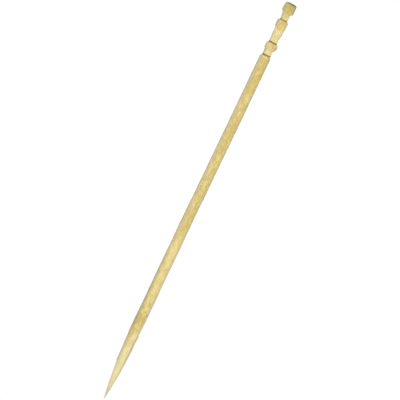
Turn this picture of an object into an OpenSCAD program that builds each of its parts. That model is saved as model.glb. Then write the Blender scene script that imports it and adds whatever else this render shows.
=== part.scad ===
// Wooden cocktail pick: one turned stick with a sharpened point and a grooved head.
// It stands upright, as it does in food: the origin is at the middle of the point's blunt end,
// and +Z runs up the pick to the flat end of its cap.
// Lengths are in millimetres. Depths and rises are measured from the shaft's surface.

/* [Stick] */
// Length from the point to the end of the cap
overall_l = 80; // [60:1:150]
// Diameter of the straight shaft
shaft_d = 2.1; // [1.6:0.1:4]
// Rounding of the shaft's upper edge, below the lowest groove
shaft_edge_r = 0.2; // [0.05:0.05:0.4]

/* [Point] */
// Length of the taper that ends in the point
taper_l = 13.6; // [6:0.2:20]
// Diameter of the blunt end of the point
point_d = 0.2; // [0.1:0.02:0.8]

/* [Bead] */
// Length of the groove between the shaft and the bead
bead_groove_l = 1.3; // [0.8:0.05:3]
// Depth of that groove at its foot
bead_groove_depth = 0.23; // [0.05:0.01:0.5]
// How much shallower that groove is at its top
bead_groove_flare = 0.02; // [0:0.01:0.05]
// Length of the bead
bead_l = 1.35; // [0.8:0.05:3]
// Height of the bead above the shaft's surface
bead_rise = 0.07; // [0:0.01:0.3]
// Rounding of the bead's lower edge
bead_lower_r = 0.25; // [0.05:0.05:0.4]
// Rounding of the bead's upper edge
bead_upper_r = 0.25; // [0.05:0.05:0.4]

/* [Collar] */
// Length of the long groove between the bead and the collar
collar_groove_l = 3; // [1:0.05:6]
// Depth of that groove at its foot
collar_groove_depth = 0.25; // [0.12:0.01:0.5]
// How much shallower that groove is at its top
collar_groove_flare = 0.11; // [0:0.01:0.12]
// Length of the collar
collar_l = 1.55; // [0.8:0.05:3]
// Height of the collar above the shaft's surface
collar_rise = 0.01; // [0:0.01:0.3]
// Rounding of the collar's lower edge
collar_lower_r = 0.1; // [0.05:0.05:0.4]
// Rounding of the collar's upper edge
collar_upper_r = 0.3; // [0.05:0.05:0.4]

/* [Cap] */
// Length of the groove between the collar and the cap
cap_groove_l = 1.5; // [0.8:0.05:3]
// Depth of that groove at its foot
cap_groove_depth = 0.31; // [0.1:0.01:0.5]
// How much shallower that groove is at its top
cap_groove_flare = 0.06; // [0:0.01:0.1]
// Length of the cap
cap_l = 2; // [1:0.05:4]
// Height of the cap above the shaft's surface
cap_rise = 0.11; // [0:0.01:0.3]
// Rounding of the cap's lower edge
cap_lower_r = 0.1; // [0.05:0.05:0.4]
// Rounding of the cap's upper edge, around the flat end of the pick
cap_upper_r = 0.35; // [0.05:0.05:0.5]

/* [Scorched lines] */
// Width of the fine line that is scored and scorched at the foot of each groove
score_w = 0.25; // [0.1:0.05:0.4]
// Depth of that line below the foot of its groove
score_depth = 0.03; // [0.01:0.01:0.1]

/* [Hidden] */
$fa = 1;
$fs = 0.05;
wood = [0.86, 0.77, 0.50];

shaft_r = shaft_d / 2;
point_r = point_d / 2;
// Places along the pick, measured from the point
collar_foot = overall_l - cap_l - cap_groove_l - collar_l - collar_groove_l;
bead_foot = collar_foot - bead_l - bead_groove_l;
cap_foot = overall_l - cap_l - cap_groove_l;
// The taper is an arc that leaves the shaft without a corner and ends at the rim of the point
taper_drop = shaft_r - point_r;
taper_arc_r = (taper_drop ^ 2 + taper_l ^ 2) / (2 * taper_drop);
// That arc belongs to a large circle, which is drawn in this many steps
taper_steps = 256;

// Each outline below is half of a section through the pick: X is the radius, Y runs from point to cap.

module taper_outline() {
    intersection() {
        translate([shaft_r - taper_arc_r, taper_l]) circle(taper_arc_r, $fn = taper_steps);
        square([shaft_r, taper_l]);
    }
}

// A disc of wood with both of its outer edges rounded
module ring_outline(r, l, lower_r, upper_r) {
    polygon([
        [0, 0], [r - lower_r, 0], [r, lower_r],
        [r, l - upper_r], [r - upper_r, l], [0, l]
    ]);
    translate([r - lower_r, lower_r]) circle(lower_r);
    translate([r - upper_r, l - upper_r]) circle(upper_r);
}

module shaft_outline() {
    top_arc_y = bead_foot - shaft_edge_r;
    polygon([
        [0, taper_l], [shaft_r, taper_l], [shaft_r, top_arc_y],
        [shaft_r - shaft_edge_r, bead_foot], [0, bead_foot]
    ]);
    translate([shaft_r - shaft_edge_r, top_arc_y]) circle(shaft_edge_r);
}

// One turning of the head: a groove with a scored line at its foot, and the ring above it
module turning_outline(groove_l, depth, flare, ring_l, rise, lower_r, upper_r) {
    foot_r = shaft_r - depth;
    polygon([
        [0, 0], [foot_r - score_depth, 0], [foot_r, score_w],
        [foot_r + flare, groove_l], [0, groove_l]
    ]);
    translate([0, groove_l]) ring_outline(shaft_r + rise, ring_l, lower_r, upper_r);
}

module bead_outline() {
    translate([0, bead_foot])
        turning_outline(bead_groove_l, bead_groove_depth, bead_groove_flare,
                        bead_l, bead_rise, bead_lower_r, bead_upper_r);
}

module collar_outline() {
    translate([0, collar_foot])
        turning_outline(collar_groove_l, collar_groove_depth, collar_groove_flare,
                        collar_l, collar_rise, collar_lower_r, collar_upper_r);
}

module cap_outline() {
    translate([0, cap_foot])
        turning_outline(cap_groove_l, cap_groove_depth, cap_groove_flare,
                        cap_l, cap_rise, cap_lower_r, cap_upper_r);
}

module pick() {
    color(wood)
        rotate_extrude() {
            taper_outline();
            shaft_outline();
            bead_outline();
            collar_outline();
            cap_outline();
        }
}

pick();
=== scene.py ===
import math

import bmesh
import bpy
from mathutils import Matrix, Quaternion, Vector, noise


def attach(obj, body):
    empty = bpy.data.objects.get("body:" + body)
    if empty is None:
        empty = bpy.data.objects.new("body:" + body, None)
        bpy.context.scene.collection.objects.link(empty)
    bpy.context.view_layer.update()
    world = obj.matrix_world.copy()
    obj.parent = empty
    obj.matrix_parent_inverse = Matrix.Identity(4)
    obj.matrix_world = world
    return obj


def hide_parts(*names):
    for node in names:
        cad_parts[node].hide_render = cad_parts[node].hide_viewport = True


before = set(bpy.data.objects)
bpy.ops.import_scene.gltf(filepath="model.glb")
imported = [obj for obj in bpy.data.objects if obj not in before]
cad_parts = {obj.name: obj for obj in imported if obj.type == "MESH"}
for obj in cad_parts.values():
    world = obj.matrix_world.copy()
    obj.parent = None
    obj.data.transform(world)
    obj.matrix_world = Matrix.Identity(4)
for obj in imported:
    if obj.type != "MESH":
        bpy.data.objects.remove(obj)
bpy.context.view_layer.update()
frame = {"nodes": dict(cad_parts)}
scene = bpy.context.scene
scene.view_settings.view_transform = "Standard"
pickMiddle = Vector((0.0, 0.0, 0.04))  # half way up the pick; the lamps and the camera aim here
print("frame loaded:", ", ".join(frame["nodes"]))


# small helpers

def ease(low, high, value):  # 0 below low, 1 above high, smooth between
    t = min(1.0, max(0.0, (value - low) / (high - low)))
    return t * t * (3 - 2 * t)


def span(low, high, soft, value):  # 1 between low and high, with soft ends
    return ease(low - soft, low + soft, value) * (1 - ease(high - soft, high + soft, value))


def hump(at, reach, value):  # 1 at one place, falling off to both sides
    return math.exp(-((value - at) / reach) ** 2)


def tint(red, green, blue):  # colour as the eye sees it, 0 to 255
    def linear(v):
        v = v / 255
        return v / 12.92 if v <= 0.04045 else ((v + 0.055) / 1.055) ** 2.4
    return (linear(red), linear(green), linear(blue), 1.0)


class Wire:  # a socket that takes Python arithmetic
    def __init__(self, tree, socket):
        self.tree = tree
        self.socket = socket

    @staticmethod
    def make(tree, kind, settings=None, sockets=None, out=0):  # any node, set first and then wired
        node = tree.nodes.new(kind)
        for name, value in (settings or {}).items():
            setattr(node, name, value)
        for name, value in (sockets or {}).items():
            if isinstance(value, Wire):
                tree.links.new(value.socket, node.inputs[name])
            else:
                node.inputs[name].default_value = value
        return Wire(tree, node.outputs[out]) if node.outputs else None

    def other(self, name):  # another output of the same node
        return Wire(self.tree, self.socket.node.outputs[name])

    def maths(self, operation, first, second):
        return Wire.make(self.tree, "ShaderNodeMath", {"operation": operation}, {0: first, 1: second})

    def __add__(self, value):
        return self.maths("ADD", self, value)

    def __radd__(self, value):
        return self.maths("ADD", value, self)

    def __sub__(self, value):
        return self.maths("SUBTRACT", self, value)

    def __rsub__(self, value):
        return self.maths("SUBTRACT", value, self)

    def __mul__(self, value):
        return self.maths("MULTIPLY", self, value)

    def __rmul__(self, value):
        return self.maths("MULTIPLY", value, self)

    def __or__(self, value):  # the larger of two masks
        return self.maths("MAXIMUM", self, value)

    def ramp(self, low, high):  # 0 below low, 1 above high
        return Wire.make(self.tree, "ShaderNodeMapRange", {"interpolation_type": "SMOOTHSTEP"},
                         {"Value": self, "From Min": low, "From Max": high})

    def band(self, low, high, soft):  # 1 between low and high
        return self.ramp(low - soft, low + soft) * (1 - self.ramp(high - soft, high + soft))

    def mix(self, first, second):  # this mask blends two colours, on the Mix node's colour sockets
        return Wire.make(self.tree, "ShaderNodeMix", {"data_type": "RGBA"},
                         {0: self, 6: first, 7: second}, out=2)


def largest(masks):  # where masks overlap, the strongest counts
    total = masks[0]
    for mask in masks[1:]:
        total = total | mask
    return total


# the stick, turned in millimetres and brought to metres at the end

shaftRadius = 1.045
capRadius = 1.175
shaftTop = 69.30  # heights above the point
beadTop = 71.97
collarTop = 76.50
capEnd = 79.88

stick = {
    "pointRadius": 0.10,
    "pointRounding": 0.05,
    "taperLength": 11.6,
    "taperSteps": 24,
    "taperRadius": 0.985,  # at the top of the taper; the shaft is full further up
    "shaftFoot": 14.5,
    "head": [  # radius, height, rounding of that corner
        (shaftRadius, shaftTop, 0.22), (0.80, shaftTop, 0.00), (0.82, 69.53, 0.06), (0.825, 70.50, 0.10),
        (1.11, 70.85, 0.16), (1.11, beadTop, 0.24), (0.79, beadTop, 0.00), (0.80, 72.20, 0.06),
        (0.805, 73.02, 0.12), (0.895, 73.58, 0.14), (0.905, 74.70, 0.08), (1.06, 75.20, 0.12),
        (1.05, collarTop, 0.26), (0.70, collarTop, 0.00), (0.735, 76.74, 0.06), (0.775, 77.40, 0.06),
        (0.77, 77.85, 0.05), (capRadius, 78.06, 0.05), (1.14, capEnd, 0.30),
    ],
    "bevelSteps": 5,
    "ringGap": 0.085,  # length of a step along the outline
    "turnSteps": 84,
    "weld": 1e-4,  # points closer than this are one
    "smoothAngle": 38.0,
    "metres": 0.001,
}


def stickOutline(shape):  # half of the section, from the point to the cap
    drop = shape["taperRadius"] - shape["pointRadius"]
    arc = (drop ** 2 + shape["taperLength"] ** 2) / (2 * drop)
    points = [(0.0, 0.0, 0.0), (shape["pointRadius"], 0.0, shape["pointRounding"])]
    for step in range(1, shape["taperSteps"] + 1):
        height = shape["taperLength"] * step / shape["taperSteps"]
        below = shape["taperLength"] - height
        points.append((shape["taperRadius"] - arc + math.sqrt(arc ** 2 - below ** 2), height, 0.0))
    points.append((shaftRadius, shape["shaftFoot"], 0.0))
    return points + shape["head"] + [(0.0, capEnd, 0.0)]


def pickVerts(mesh, test):  # select the points that pass a test
    for face in mesh.faces:
        face.select = False
    for edge in mesh.edges:
        edge.select = False
    for vert in mesh.verts:
        vert.select = test(vert.co)


def turnStick(shape):
    bpy.ops.object.select_all(action="DESELECT")
    bpy.ops.mesh.primitive_plane_add(size=0.01)
    piece = bpy.context.object
    piece.name = "turnedPick"
    bpy.ops.object.mode_set(mode="EDIT")
    bpy.ops.mesh.select_all(action="SELECT")
    bpy.ops.mesh.merge(type="CENTER")
    outline = stickOutline(shape)
    for here, there in zip(outline, outline[1:]):  # draw the outline point by point
        move = (there[0] - here[0], 0.0, there[1] - here[1])
        bpy.ops.mesh.extrude_vertices_move(TRANSFORM_OT_translate={"value": move})
    mesh = bmesh.from_edit_mesh(piece.data)
    weld = shape["weld"]
    for radius, height, rounding in outline:  # round its corners
        if rounding:
            pickVerts(mesh, lambda co: abs(co.x - radius) < weld and abs(co.z - height) < weld)
            bmesh.update_edit_mesh(piece.data)
            bpy.ops.mesh.bevel(offset=rounding, segments=shape["bevelSteps"], affect="VERTICES")
            mesh = bmesh.from_edit_mesh(piece.data)
    print("outline drawn:", len(mesh.verts), "points")
    while True:  # cut long edges into even steps
        cuts = {}
        for edge in mesh.edges:
            count = round(edge.calc_length() / shape["ringGap"]) - 1
            if count > 0:
                cuts.setdefault(count, []).append(edge)
        if not cuts:
            break
        count, edges = cuts.popitem()
        pickVerts(mesh, lambda co: False)
        for edge in edges:
            edge.select_set(True)
        bmesh.update_edit_mesh(piece.data)
        bpy.ops.mesh.subdivide(number_cuts=count)
        mesh = bmesh.from_edit_mesh(piece.data)
    bpy.ops.mesh.select_all(action="SELECT")
    bpy.ops.mesh.spin(steps=shape["turnSteps"], angle=math.tau, center=(0, 0, 0), axis=(0, 0, 1))
    bpy.ops.mesh.select_all(action="SELECT")
    bpy.ops.mesh.remove_doubles(threshold=weld)
    bpy.ops.mesh.normals_make_consistent(inside=False)
    bpy.ops.object.mode_set(mode="OBJECT")
    print("stick turned:", len(piece.data.polygons), "faces")
    return piece


wear = {  # what the machine and the wood did to the turned shape, in millimetres
    "fibres": (0.011, 3.2, 0.35, 3.0),  # depth, scale across and along, place in the noise
    "waves": (0.016, 1.1, 0.22, 40.0),
    "toolMarks": (0.006, 0.7, 4.5, 80.0),
    "fullDepthRadius": 0.5,  # thinner wood is marked less
    "grooves": [(69.3, 70.5), (71.95, 75.15), (76.5, 77.95)],  # cut smooth from, to
    "grooveFade": 0.1,
    "pointCut": (6.0, 11.0),  # the point is cut smooth too, fading out from, to
    "pointCutShare": 0.8,
    "cutSmoothing": 0.6,  # share of the fibres that a cut takes off
    "swells": [(15.0, 31.5, 1.0, 0.012), (22.4, 24.0, 0.4, -0.02)],  # from, to, fading, rise all round
    "shoulders": [69.3, 71.95, 76.5, 80.0],  # heights of the chipped edges
    "chips": (0.035, 2.4, 0.0, 7.0),
    "chipReach": 0.22,
    "chipRadii": (0.55, 0.95),  # fading in towards the rim
    "slopes": [  # shoulders that slope on one side: height, depth, run, inner radius, side
        (shaftTop, 0.03, 0.6, 0.78, -1), (beadTop, 0.05, 0.5, 0.78, -1), (collarTop, 0.09, 0.6, 0.70, -1),
        (collarTop, 0.12, 0.35, 0.70, 1), (capEnd, 0.22, 0.9, 0.10, -1), (capEnd, 0.08, 0.4, 0.10, 1),
    ],
    "slopeAbove": 0.02,  # how far above its height a chipped shoulder still slopes
    "slopeRadius": 1.05,  # where a slope is full
    "slopeSide": (0.15, 0.9),  # and how it fades in towards its side
    "tilts": [  # shoulders out of square: height, reach, rise on the left, drop on the right
        (beadTop, 0.25, 0.06, 0.06), (collarTop, 0.25, 0.0, 0.06),
    ],
    "endTilt": 0.03,  # the end of the cap was cut a little out of square
    "endTiltFrom": (78.8, 79.85),
    "bulges": [  # height, reach, rise, side
        (5.9, 0.8, 0.03, 1), (12.7, 0.4, 0.06, 1), (71.42, 0.28, 0.08, 1), (74.0, 0.5, 0.03, 1),
    ],
    "facing": (0.3, 0.9),  # how bulges and front slopes fade in towards their side
    "sawFrom": 79.84,
    "sawDepth": 0.016,
    "pointLeans": [(10.0, 14.5, 0.13), (0.0, 7.0, 0.07)],  # towards +X below: fading out from, to, shift
    "headLeans": [(70.3, 70.9, 0.1), (75.8, 78.4, 0.04)],  # towards +X above: fading in from, to, shift
    "bows": [  # towards +X: from, to, fading, shift
        (14.0, 21.5, 1.5, 0.04), (32.2, 40.5, 1.2, -0.05), (19.9, 21.7, 0.4, 0.015), (12.3, 13.2, 0.15, 0.04),
        (50.0, 64.0, 4.0, 0.02), (41.5, 69.3, 0.3, -0.015), (69.4, 70.4, 0.1, 0.03),
        (70.7, 71.1, 0.15, -0.03), (73.6, 75.0, 0.15, 0.03),
    ],
}

runOut = {  # grooves that end in a slope instead of a shoulder, in millimetres
    "longHeights": (74.1, 75.9),  # the long groove, in front
    "longRadius": 0.90,
    "longRise": 0.155,
    "longSpan": (74.6, 75.6, 0.3),  # from, to, fading
    "lastFoot": 77.35,  # the last groove, in front and on the left
    "lastTop": 78.6,
    "lastRadius": 0.785,
    "frontSlope": 0.31,
    "frontWay": (-0.3, -0.95),  # the way that this slope faces
    "sideSlope": 0.25,
    "sideRun": 0.75,
    "sideStep": (78.04, 78.28),  # then it steps out to the cap
    "sideFacing": (0.1, 0.7),
}

pointMarks = {  # what the knife did to the point, in millimetres
    "ledgeHeight": 7.42,  # a cut along the left broke off here
    "ledgeRagged": 0.2,
    "ledgeReach": 0.7,
    "ledgeSide": (-0.1, 0.25),
    "flats": [(0.093, 0.495), (0.14, 1.3)],  # slope of each flat, height where it meets the axis
    "flatRough": 0.012,
    "notchDepth": 0.08,
    "notchReach": 0.3,
    "lipRise": 0.045,
    "lipLength": 1.3,
    "lipWidth": (0.3, 0.7),  # each width is full to the first distance and fades out at the second
    "burrHeight": 2.0,  # a splinter stands out on the right
    "burrLength": 0.5,
    "burrRise": 0.06,
    "burrWidth": (0.15, 0.5),
    "nick": (10.4, 0.22, 0.06),  # on the left: height, reach, depth
    "nickRidge": (11.2, 0.35, 0.042),  # wood pushed up above the nick
    "nickSide": (0.75, 1.0),
    "nickWidth": (0.2, 0.5),
}


def patternAt(spot, pattern):  # uneven wood; the spot is a direction from the axis and a height
    depth, across, along, seed = pattern
    return depth * noise.noise(Vector((spot[0] * across, spot[1] * across, spot[2] * along + seed)))


def roughen(spot, radius, worn):  # fibres, waves, tool marks and thicker lengths
    height = spot[2]
    cut = max(span(low, high, worn["grooveFade"], height) for low, high in worn["grooves"])
    cut = max(cut, worn["pointCutShare"] * (1 - ease(*worn["pointCut"], height)))
    relief = patternAt(spot, worn["fibres"]) * (1 - worn["cutSmoothing"] * cut)
    relief += patternAt(spot, worn["waves"])
    relief += patternAt(spot, worn["toolMarks"]) * cut
    relief += sum(rise * span(low, high, fade, height) for low, high, fade, rise in worn["swells"])
    return radius + relief * min(1.0, radius / worn["fullDepthRadius"])


def wearShoulders(spot, radius, height, worn):  # chipped edges and sloping shoulders
    near = max(hump(edge, worn["chipReach"], height) for edge in worn["shoulders"])
    height += patternAt(spot, worn["chips"]) * near * ease(*worn["chipRadii"], radius)
    for edge, depth, run, inner, way in worn["slopes"]:
        if edge - run < height < edge + worn["slopeAbove"]:
            lost = depth * ((height - edge + run) / run) ** 2 * ease(inner, worn["slopeRadius"], radius)
            radius -= lost * ease(*worn["slopeSide"], spot[0] * way)
    return radius, height


def runOutGrooves(spot, radius, height, worn, slope):
    front = slope["longRadius"] + slope["longRise"] * ease(*slope["longHeights"], height)
    radius += ease(*worn["facing"], -spot[1]) * span(*slope["longSpan"], height) * (front - radius)
    if slope["lastFoot"] < height < slope["lastTop"]:
        above = height - slope["lastFoot"]
        side = slope["lastRadius"] + slope["sideSlope"] * min(slope["sideRun"], above)
        side += (capRadius - side) * ease(*slope["sideStep"], height)
        radius += ease(*slope["sideFacing"], -spot[0]) * (side - radius)
        front = slope["lastRadius"] + slope["frontSlope"] * above
        facing = slope["frontWay"][0] * spot[0] + slope["frontWay"][1] * spot[1]
        radius += ease(*worn["facing"], facing) * (front - radius)
    return radius


def tiltHead(spot, radius, height, worn):  # shoulders and end out of square
    for at, reach, left, right in worn["tilts"]:
        height -= (left if spot[0] < 0 else right) * spot[0] * hump(at, reach, height)
    return height - worn["endTilt"] * spot[0] * radius * ease(*worn["endTiltFrom"], height)


def leanAt(height, worn):  # how far the wood stands off its axis, towards +X
    lean = sum(shift * (1 - ease(low, high, height)) for low, high, shift in worn["pointLeans"])
    lean += sum(shift * ease(low, high, height) for low, high, shift in worn["headLeans"])
    return lean + sum(shift * span(low, high, fade, height) for low, high, fade, shift in worn["bows"])


def bendBreak(x, y, ledge, marks):  # the break across the point is ragged
    ragged = noise.noise(Vector((y * 2.6, 0.0, 5.0))) + 0.3 * noise.noise(Vector((y * 11.0, 0.0, 8.0)))
    near = hump(0.0, marks["ledgeReach"], ledge)
    return marks["ledgeRagged"] * ragged * near * ease(*marks["ledgeSide"], -x)


def markPoint(x, y, z, ledge, marks):
    def across(width):
        return 1 - ease(*marks[width], abs(y))

    burr = z - marks["burrHeight"]
    if burr > 0 and x > 0:
        x += marks["burrRise"] * (1 - ease(0.0, marks["burrLength"], burr)) * across("burrWidth")
    if ledge < 0:  # the flat left by the cut
        flat = max(-slope * (z - foot) for slope, foot in marks["flats"])
        flat += marks["flatRough"] * noise.noise(Vector((y * 6.0, z * 0.5, 9.0)))
        flat += marks["notchDepth"] * hump(0.0, marks["notchReach"], ledge)
        x = max(x, flat)
    elif x < 0:  # a lip above it
        x -= marks["lipRise"] * (1 - ease(0.0, marks["lipLength"], ledge)) * across("lipWidth")
    if x < 0:
        nickAt, nickReach, nickDepth = marks["nick"]
        ridgeAt, ridgeReach, ridgeRise = marks["nickRidge"]
        nick = nickDepth * hump(nickAt, nickReach, z) - ridgeRise * hump(ridgeAt, ridgeReach, z)
        x += nick * ease(*marks["nickSide"], -x) * across("nickWidth")
    return x


def wearStick(piece, worn, slope, marks):
    for vert in piece.data.vertices:
        x, y, z = vert.co
        radius = math.hypot(x, y)
        if radius > 1e-5:  # all but the two ends of the axis
            spot = (x / radius, y / radius, z)
            radius = roughen(spot, radius, worn)
            radius, z = wearShoulders(spot, radius, z, worn)
            radius = runOutGrooves(spot, radius, z, worn, slope)
            z = tiltHead(spot, radius, z, worn)
            for at, reach, rise, way in worn["bulges"]:
                radius += rise * hump(at, reach, z) * ease(*worn["facing"], spot[0] * way)
            x = spot[0] * radius
            y = spot[1] * radius
        if z > worn["sawFrom"]:  # the saw left the end a little uneven
            z -= worn["sawDepth"] * abs(noise.noise(Vector((x * 2.0 + y * 0.6, y * 5.0, 21.0))))
        ledge = z - marks["ledgeHeight"]  # above or below the break, before its rings are bent
        z += bendBreak(x, y, ledge, marks)
        x += leanAt(z, worn)
        vert.co = (markPoint(x, y, z, ledge, marks), y, max(z, 0.0))
    piece.data.update()
    print("stick worn")


# wood: pale where it was cut, ochre where it wasn't, scorched at the foot of each groove

wood = {
    "skinDark": tint(203, 179, 106),
    "skinLight": tint(236, 216, 150),
    "skinWarm": tint(226, 184, 112),
    "skinOlive": tint(196, 176, 96),
    "cutDark": tint(222, 203, 140),
    "cutLight": tint(243, 231, 180),
    "cutWarm": tint(246, 220, 156),
    "cutOlive": tint(222, 214, 146),
    "tipShade": tint(198, 196, 176),
    "sideShade": tint(166, 158, 122),
    "rimShade": tint(176, 178, 158),
    "oliveShade": tint(200, 198, 140),
    "paleSheen": tint(206, 206, 200),
    "pore": tint(150, 118, 62),
    "scorch": tint(138, 112, 38),
    "capDark": tint(164, 139, 60),
    "capLight": tint(222, 198, 117),
    "endHaze": tint(168, 163, 116),
    "endDark": tint(94, 82, 40),
    "endLight": tint(132, 120, 72),
    "grains": {  # scale across and along the wood, detail, place in the noise
        "mottle": (1.2, 0.5, 2.0, 3.0),
        "fleck": (2.2, 1.0, 3.0, 11.0),
        "hue": (1.6, 0.8, 2.0, 83.0),
        "fibre": (9.0, 0.4, 3.0, 23.0),
        "vessel": (15.0, 1.3, 1.0, 31.0),
        "cloud": (0.5, 0.16, 1.0, 47.0),
        "wobble": (1.8, 1.8, 2.0, 59.0),
        "shiver": (3.0, 3.0, 2.0, 71.0),
        "streak": (5.0, 0.6, 2.0, 107.0),
        "speckle": (2.6, 1.7, 2.0, 127.0),
    },
    "grainRoughness": 0.55,
    "pith": (4.0, 2.5, 0.0),  # the growth rings on the end turn about a place off the stick
    "ringScale": 0.9,
    # tones from dark to light: a base, and how far each pattern swings about it
    "skinTone": {"base": 0.41, "mottle": 0.8, "fleck": 1.7, "fibre": 0.8, "cloud": 0.3},
    "cutTone": {"base": 0.55, "mottle": 0.9, "fibre": 1.0},
    "capTone": {"base": 0.49, "streak": -1.5, "hue": 1.4},
    "endTone": {"base": 0.5, "fleck": 1.0, "streak": 0.6, "rings": 0.8},
    "burnTone": {"base": 0.9, "hue": 0.8},
    "roughTone": {"base": 0.62, "fibre": 0.25},
    "toneBands": [  # lengths of the skin that are darker or lighter: from, to, fading, change
        (63.5, 69.0, 1.5, -0.26), (14.0, 17.0, 1.5, -0.08), (19.0, 32.3, 3.0, 0.46),
    ],
    "collarShade": (75.3, 76.3, 0.2),  # darker in the middle of the collar: from, to, fading
    "beadShade": (70.9, 71.7, 0.15),  # and on the right of the bead
    "shadeDepth": 0.14,
    "slantBand": (12.2, 15.0, 0.8),  # lighter on the right, where the point begins
    "slantDepth": 0.5,
    "speckleBand": (9.5, 21.0, 2.0),
    "speckleDepth": 2.6,
    "lowShade": (26.0, 34.0),  # below this fading, painted shade makes the left darker and greyer and painted light makes the right lighter
    "lowShadeSide": (-1.0, -0.15),
    "lowShadeGrey": 0.36,
    "warmHue": (0.52, 0.68),  # where the pattern of hues turns redder
    "oliveHue": (0.34, 0.47),  # and where it turns greener
    "skinHues": (0.38, 0.4),  # shares of the warm and the olive colour
    "cutHues": (0.3, 0.3),
    "capFade": (77.7, 79.0),
    "capShare": 0.85,
    "pointFresh": (10.5, 16.0, 0.9),  # cut wood of the point: fading from, to, strength
    "freshBands": [  # cut wood of the grooves: from, to, fading at the top, strength
        (69.4, 70.95, 0.15, 0.85), (72.05, 74.75, 0.45, 0.82), (76.6, 77.5, 0.5, 0.7),
    ],
    "tongues": [(74.4, 75.6, 0.3), (77.0, 78.5, 0.3)],  # skin reaches down in the middle: from, to, fading
    "vesselLimits": (0.62, 0.72),
    "shadedSides": [  # painted shade on one side: from, to, fading, side, across from, across to, strength
        (3.0, 6.5, 1.0, 1, 0.45, 0.85, 0.35), (6.5, 12.5, 1.5, 1, 0.55, 0.95, 0.35),
        (14.6, 17.3, 1.0, -1, 0.52, 0.78, 0.75), (68.6, 69.35, 0.15, 1, 0.45, 0.8, 0.45),
        (69.42, 70.6, 0.12, -1, 0.25, 0.75, 0.7), (71.95, 72.3, 0.12, -1, 0.35, 0.75, 0.45),
        (72.3, 74.2, 0.3, -1, 0.4, 0.72, 0.42), (75.2, 76.6, 0.12, -1, 0.45, 0.90, 0.75),
        (75.75, 76.45, 0.15, -1, 0.4, 0.8, 0.95), (76.7, 77.5, 0.1, -1, 0.25, 0.45, 0.4),
        (78.1, 79.9, 0.15, -1, 0.5, 0.85, 0.45),
    ],
    "litSides": [(69.5, 70.5), (72.2, 73.9), (77.0, 77.9)],  # painted light on the right: from, to
    "litShare": 0.5,
    "rimShadeShare": 0.36,  # painted shade, grey, on both edges
    "oliveShadeBand": (13.0, 69.3, 1.0),  # olive painted shade beside the edges of the shaft
    "oliveShadeShare": 0.3,
    "paleSheenFrom": (30.0, 36.0),  # pale painted sheen left of the shaft, fading in upwards
    "paleSheenShare": 0.26,
    "flatSlope": 0.085,  # of the left edge of the point
    "flatSheen": (11.0, 14.0, 0.2),  # pale painted sheen beside the flat of the point: fading out from, to, strength
    "stainsAndPaintedLight": [  # stains, painted highlights and painted shade: colour, height from, to, across from, to, strength
        # painted highlight on the shoulder under the lowest scorched line
        ("cutLight", 69.02, 69.30, -0.60, 0.40, 0.38),
        ("cutDark", 70.0, 70.5, -0.50, 0.10, 0.45), ("skinDark", 70.7, 71.15, -0.62, -0.22, 0.5),
        ("cutLight", 71.25, 71.8, -0.60, -0.25, 0.38), ("cutDark", 73.8, 74.4, 0.05, 0.38, 0.42),
        ("cutLight", 75.0, 75.45, 0.50, 1.20, 0.3), ("cutLight", 76.0, 76.42, -0.58, -0.08, 0.3),
        # the second row is painted light under the cap's overhang on the right
        ("cutLight", 77.5, 78.1, -0.58, -0.22, 0.3), ("cutLight", 77.5, 77.9, 0.34, 0.62, 0.32),
        # the first row is painted shade on the right side of the cap
        ("capDark", 78.0, 78.65, 0.50, 1.30, 0.22), ("cutOlive", 79.1, 79.55, -0.56, -0.34, 0.38),
        ("capDark", 79.1, 79.5, -0.22, -0.03, 0.35), ("capLight", 79.1, 79.5, 0.12, 0.85, 0.2),
    ],
    "patchFade": 0.1,
    "tipShadeFade": (1.4, 3.4, 0.8),  # painted shade on the point: fading out from, to, strength
    "scorchLines": [  # height, how faint in its middle, how faint on the right
        (69.50, 0.0, 0.0), (72.07, 0.0, 0.0), (76.55, 0.5, 0.5),
    ],
    "scorchHalfWidth": 0.13,
    "scorchFade": 0.05,
    "scorchTiltFrom": (70.2, 71.2),  # above the lowest groove all marks run a little aslant
    "scorchTilt": 0.075,
    "scorchHaze": 0.16,
    "scorchRough": 0.12,
    "endHazeFrom": (79.3, 79.85, 0.75),  # fading in from, to, strength
    "endFrom": (79.56, 79.78),
    "fibreBump": 0.00003,
}


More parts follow.
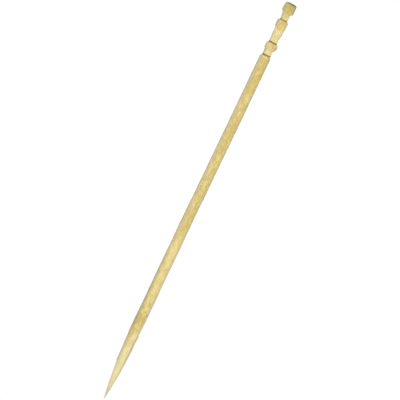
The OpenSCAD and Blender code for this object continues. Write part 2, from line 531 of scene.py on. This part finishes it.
def woodFinish(look):
    material = bpy.data.materials.new("turnedWood")
    material.use_nodes = True
    tree = material.node_tree
    tree.nodes.clear()

    place = Wire.make(tree, "ShaderNodeTexCoord").other("Object")
    millimetres = Wire.make(tree, "ShaderNodeVectorMath", {"operation": "SCALE"}, {0: place, "Scale": 1000.0})
    axes = Wire.make(tree, "ShaderNodeSeparateXYZ", None, {0: millimetres})
    sideways = axes.other("X")
    along = axes.other("Z")
    offMiddle = sideways * sideways  # 0 on the middle line, about 1 at the sides
    frontHalf = 1 - axes.other("Y").ramp(-0.4, 0.0)
    height = along + sideways * along.ramp(*look["scorchTiltFrom"]) * look["scorchTilt"]

    def moved(location, scale):
        return Wire.make(tree, "ShaderNodeMapping", None,
                         {"Vector": millimetres, "Location": location, "Scale": scale})

    def grain(across, lengthwise, detail, seed):  # a pattern drawn out along the wood
        return Wire.make(tree, "ShaderNodeTexNoise", None,
                         {"Vector": moved((seed, seed, seed), (across, across, lengthwise)),
                          "Scale": 1.0, "Detail": detail, "Roughness": look["grainRoughness"]})

    patterns = {name: grain(*row) for name, row in look["grains"].items()}
    patterns["rings"] = Wire.make(tree, "ShaderNodeTexWave", {"wave_type": "RINGS", "rings_direction": "Z"},
                                  {"Vector": moved(look["pith"], (1.0, 1.0, 0.0)),
                                   "Scale": look["ringScale"], "Distortion": 1.6, "Detail": 2.0}, out=1)
    hue = patterns["hue"]
    vessels = patterns["vessel"].ramp(*look["vesselLimits"])

    def swing(name, depth):  # a pattern about its middle
        return (patterns[name] - 0.5) * depth

    def toneOf(kind):
        tone = look[kind]["base"]
        for name, depth in look[kind].items():
            if name != "base":
                tone = tone + swing(name, depth)
        return tone

    def coloured(tone, dark, light):
        return tone.ramp(0.0, 1.0).mix(look[dark], look[light])

    def hued(colour, kind):  # redder in some places, greener in others
        warmShare, oliveShadeShare = look[kind + "Hues"]
        colour = (hue.ramp(*look["warmHue"]) * warmShare).mix(colour, look[kind + "Warm"])
        return ((1 - hue.ramp(*look["oliveHue"])) * oliveShadeShare).mix(colour, look[kind + "Olive"])

    wobble = swing("wobble", 0.35)
    flank = offMiddle.ramp(0.0, 0.35)
    tongue = (0.3 - flank * 0.55) * largest([along.band(*row) for row in look["tongues"]])
    edge = height + wobble + tongue  # bounds of cut wood are uneven

    # tone of the uncut surface
    slant = sideways * along.band(*look["slantBand"]) * look["slantDepth"]
    speckle = swing("speckle", look["speckleDepth"]) * along.band(*look["speckleBand"])
    tone = toneOf("skinTone") + slant + speckle
    for low, high, fade, change in look["toneBands"]:
        tone = tone + height.band(low, high, fade) * change
    tone = tone - height.band(*look["collarShade"]) * (1 - flank) * look["shadeDepth"]
    tone = tone - height.band(*look["beadShade"]) * sideways.ramp(0.0, 0.3) * look["shadeDepth"]
    # painted light on the right and painted shade on the left of the lower shaft
    lowDown = 1 - height.ramp(*look["lowShade"])
    leftShade = 1 - sideways.ramp(*look["lowShadeSide"])
    tone = tone + (sideways * 0.15 - leftShade * 0.35) * lowDown
    skin = hued(coloured(tone, "skinDark", "skinLight"), "skin")

    # the cap is darker and streaked, with painted shade towards its sides
    # painted shade darkens the cap towards its sides
    capTone = toneOf("capTone") - offMiddle.ramp(0.55, 1.2) * 0.12
    cap = coloured(capTone, "capDark", "capLight")
    skin = (edge.ramp(*look["capFade"]) * look["capShare"]).mix(skin, cap)

    # fresh cut wood in the grooves and on the point
    low, high, share = look["pointFresh"]
    freshParts = [(1 - edge.ramp(low, high)) * share]
    for low, high, fade, share in look["freshBands"]:
        freshParts.append(edge.ramp(low - 0.1, low + 0.1) * (1 - edge.ramp(high - fade, high + fade)) * share)
    fresh = largest(freshParts)
    cutTone = toneOf("cutTone") + slant + speckle + sideways * (1 - along.ramp(15.0, 20.0)) * 0.25
    cut = hued(coloured(cutTone, "cutDark", "cutLight"), "cut")
    colour = (fresh * 0.92).mix(skin, cut)
    colour = (vessels * (0.28 - fresh * 0.1) * along.ramp(3.0, 8.0)).mix(colour, look["pore"])

    # painted light on the right, grey and olive painted shade at both edges, painted shade on one side and a
    # pale painted sheen on the left; all but the first are on the front half alone
    # painted light on the right of the grooves
    bright = largest([height.band(low, high, 0.15) for low, high in look["litSides"]])
    colour = (bright * sideways.ramp(0.4, 0.8) * look["litShare"]).mix(colour, look["cutLight"])
    # painted shade greys both edges
    colour = (offMiddle.ramp(0.3, 0.95) * frontHalf * look["rimShadeShare"]).mix(colour, look["rimShade"])
    # painted shade in olive beside the edges
    olive = offMiddle.band(0.35, 0.8, 0.25) * along.band(*look["oliveShadeBand"]) * look["oliveShadeShare"]
    colour = (olive * frontHalf).mix(colour, look["oliveShade"])
    # a pale painted sheen on the left edge and beside the flat of the point
    pale = sideways.ramp(-1.05, -0.7) * (1 - sideways.ramp(-0.8, -0.3))
    pale = pale * along.ramp(*look["paleSheenFrom"]) * look["paleSheenShare"]
    nearFlat = sideways + along * look["flatSlope"]  # 0 along the left edge of the point
    low, high, share = look["flatSheen"]
    pale = pale | (1 - nearFlat.ramp(0.25, 0.6)) * (1 - along.ramp(low, high)) * share
    colour = (pale * frontHalf).mix(colour, look["paleSheen"])
    # painted shade greys one side
    shadeParts = [leftShade * lowDown * look["lowShadeGrey"]]
    for low, high, fade, way, inner, outer, share in look["shadedSides"]:
        shadeParts.append((sideways * way).ramp(inner, outer) * height.band(low, high, fade) * share)
    colour = (largest(shadeParts) * frontHalf).mix(colour, look["sideShade"])

    # stains, painted highlights and painted shade on the head, and painted shade on the grey tip
    patchHeight = height + wobble * 0.8
    patchSide = sideways + swing("streak", 0.4)
    fade = look["patchFade"]
    for patchColour, low, high, left, right, share in look["stainsAndPaintedLight"]:
        mask = patchHeight.band(low, high, fade) * patchSide.band(left, right, fade) * frontHalf * share
        colour = mask.mix(colour, look[patchColour])
    # painted shade greys the point
    low, high, share = look["tipShadeFade"]
    colour = ((1 - edge.ramp(low, high)) * share).mix(colour, look["tipShade"])

    # scorched lines, and a brown haze beside them
    fine = height + swing("shiver", 0.09)
    middle = sideways.band(-0.32, 0.42, 0.2)
    rightEnd = sideways.ramp(0.58, 0.72)
    half = look["scorchHalfWidth"]
    lines = []
    hazes = []
    for at, faint, faintRight in look["scorchLines"]:
        line = fine.band(at - half, at + half, look["scorchFade"])
        lines.append(line * (1 - middle * faint - rightEnd * faintRight))
        hazes.append(fine.band(at - 0.1, at + 0.3, 0.15))
    scorched = largest(lines)
    colour = (largest(hazes) * look["scorchHaze"]).mix(colour, look["scorch"])
    colour = (scorched * toneOf("burnTone")).mix(colour, look["scorch"])

    # the darker end of the cap
    end = coloured(toneOf("endTone"), "endDark", "endLight")
    nearEnd = height + (1 - sideways.ramp(-0.85, -0.5)) * 0.35
    low, high, share = look["endHazeFrom"]
    colour = (nearEnd.ramp(low, high) * share).mix(colour, look["endHaze"])
    onEnd = height.ramp(*look["endFrom"]) * (0.6 + sideways.ramp(-0.7, 0.1) * 0.25)
    colour = onEnd.mix(colour, end)

    relief = patterns["fibre"] * 0.7 + patterns["fleck"] * 0.25 - vessels * 0.5
    bump = Wire.make(tree, "ShaderNodeBump", None,
                     {"Height": relief, "Distance": look["fibreBump"], "Strength": 0.8})
    rough = toneOf("roughTone") + scorched * look["scorchRough"]
    shader = Wire.make(tree, "ShaderNodeBsdfPrincipled", None,
                       {"Base Color": colour, "Roughness": rough, "Normal": bump,
                        "Specular IOR Level": 0.25, "Sheen Weight": 0.03, "Sheen Roughness": 0.5})
    Wire.make(tree, "ShaderNodeOutputMaterial", None, {"Surface": shader})
    print("wood finished:", len(tree.nodes), "nodes")
    return material


pick = turnStick(stick)
wearStick(pick, wear, runOut, pointMarks)
bpy.ops.object.mode_set(mode="EDIT")
bpy.ops.mesh.select_all(action="SELECT")
bpy.ops.transform.resize(value=(stick["metres"],) * 3, center_override=(0, 0, 0))
bpy.ops.object.mode_set(mode="OBJECT")
bpy.ops.object.shade_smooth_by_angle(angle=math.radians(stick["smoothAngle"]))
pick.data.materials.append(woodFinish(wood))
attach(pick, "root")
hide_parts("pick")


# floor, light and camera

studio = {
    "floorSize": 4.0,
    "floorTone": 0.82,
    "floorGlow": 0.8,  # share of its own white near the pick, where the shadow falls
    "floorGlowFade": (0.15, 0.45),  # further away it is all white
    "floorWhite": 1.1,
    "ambient": 0.36,
    "keyPlace": (0.0, -0.75, 0.42),
    "keySize": 0.7,
    "keyPower": 5.12,
    "backPlaces": {"backLightLeft": (-0.72, 0.6, 0.35), "backLightRight": (0.72, 0.6, 0.35)},
    "backSize": 0.35,
    "backPower": 2.7,
}


def seenRays(tree):  # rays that show the background itself
    camera = Wire.make(tree, "ShaderNodeLightPath")
    return camera | camera.other("Is Glossy Ray") | camera.other("Is Transmission Ray")


def layFloor(settings):
    bpy.ops.object.select_all(action="DESELECT")
    bpy.ops.mesh.primitive_plane_add(size=settings["floorSize"])
    floor = bpy.context.object
    floor.name = "studioFloor"
    material = bpy.data.materials.new("palePaper")
    material.use_nodes = True
    tree = material.node_tree
    tree.nodes.clear()
    tone = settings["floorTone"]
    place = Wire.make(tree, "ShaderNodeTexCoord").other("Object")
    away = Wire.make(tree, "ShaderNodeVectorMath", {"operation": "LENGTH"}, {0: place}).other("Value")
    paper = Wire.make(tree, "ShaderNodeBsdfDiffuse", None, {"Color": (tone, tone, tone, 1)})
    glow = Wire.make(tree, "ShaderNodeEmission", None,
                     {"Color": (1, 1, 1, 1), "Strength": settings["floorWhite"]})
    near = settings["floorGlow"]
    share = seenRays(tree) * (near + away.ramp(*settings["floorGlowFade"]) * (1 - near))
    mixed = Wire.make(tree, "ShaderNodeMixShader", None, {0: share, 1: paper, 2: glow})
    Wire.make(tree, "ShaderNodeOutputMaterial", None, {"Surface": mixed})
    floor.data.materials.append(material)


def hangLamp(name, place, size, power):
    bpy.ops.object.light_add(type="AREA", location=place)
    lamp = bpy.context.object
    lamp.name = name
    lamp.data.shape = "DISK"
    lamp.data.size = size
    lamp.data.energy = power
    lamp.visible_camera = False
    lamp.rotation_mode = "QUATERNION"
    lamp.rotation_quaternion = (pickMiddle - lamp.location).to_track_quat("-Z", "Y")


def lightStudio(settings):
    world = bpy.data.worlds.new("studioWorld")
    scene.world = world
    world.use_nodes = True
    tree = world.node_tree
    tree.nodes.clear()
    light = Wire.make(tree, "ShaderNodeBackground", None,
                      {"Color": (1, 1, 1, 1), "Strength": settings["ambient"]})
    white = Wire.make(tree, "ShaderNodeBackground", None, {"Color": (1, 1, 1, 1), "Strength": 1.0})
    sky = Wire.make(tree, "ShaderNodeMixShader", None, {0: seenRays(tree), 1: light, 2: white})
    Wire.make(tree, "ShaderNodeOutputWorld", None, {"Surface": sky})
    hangLamp("keyLight", settings["keyPlace"], settings["keySize"], settings["keyPower"])
    for name, place in settings["backPlaces"].items():
        hangLamp(name, place, settings["backSize"], settings["backPower"])


shot = {
    "lens": 300.0,
    "sensor": 36.0,
    "clip": (0.01, 20.0),
    "imagePixels": 400,
    "elevation": 6.0,
    "roll": 25.51,
    "across": 0.07266,  # width of the picture at the pick
    "aimPixels": (3.65, 1.67),  # where the picture's middle lies from the pick's, right and up
}


def placeCamera(settings):
    bpy.ops.object.camera_add()
    camera = bpy.context.object
    camera.data.lens = settings["lens"]
    camera.data.sensor_width = settings["sensor"]
    camera.data.clip_start, camera.data.clip_end = settings["clip"]
    rise = math.radians(settings["elevation"])
    back = Vector((0, -math.cos(rise), math.sin(rise)))
    turn = (-back).to_track_quat("-Z", "Y") @ Quaternion((0, 0, 1), math.radians(settings["roll"]))
    pixel = settings["across"] / settings["imagePixels"]
    aim = turn @ Vector((settings["aimPixels"][0] * pixel, settings["aimPixels"][1] * pixel, 0))
    distance = settings["across"] * settings["lens"] / settings["sensor"]
    camera.rotation_mode = "QUATERNION"
    camera.rotation_quaternion = turn
    camera.location = pickMiddle + back * distance + aim
    scene.camera = camera


layFloor(studio)
lightStudio(studio)
placeCamera(shot)
print("studio set")
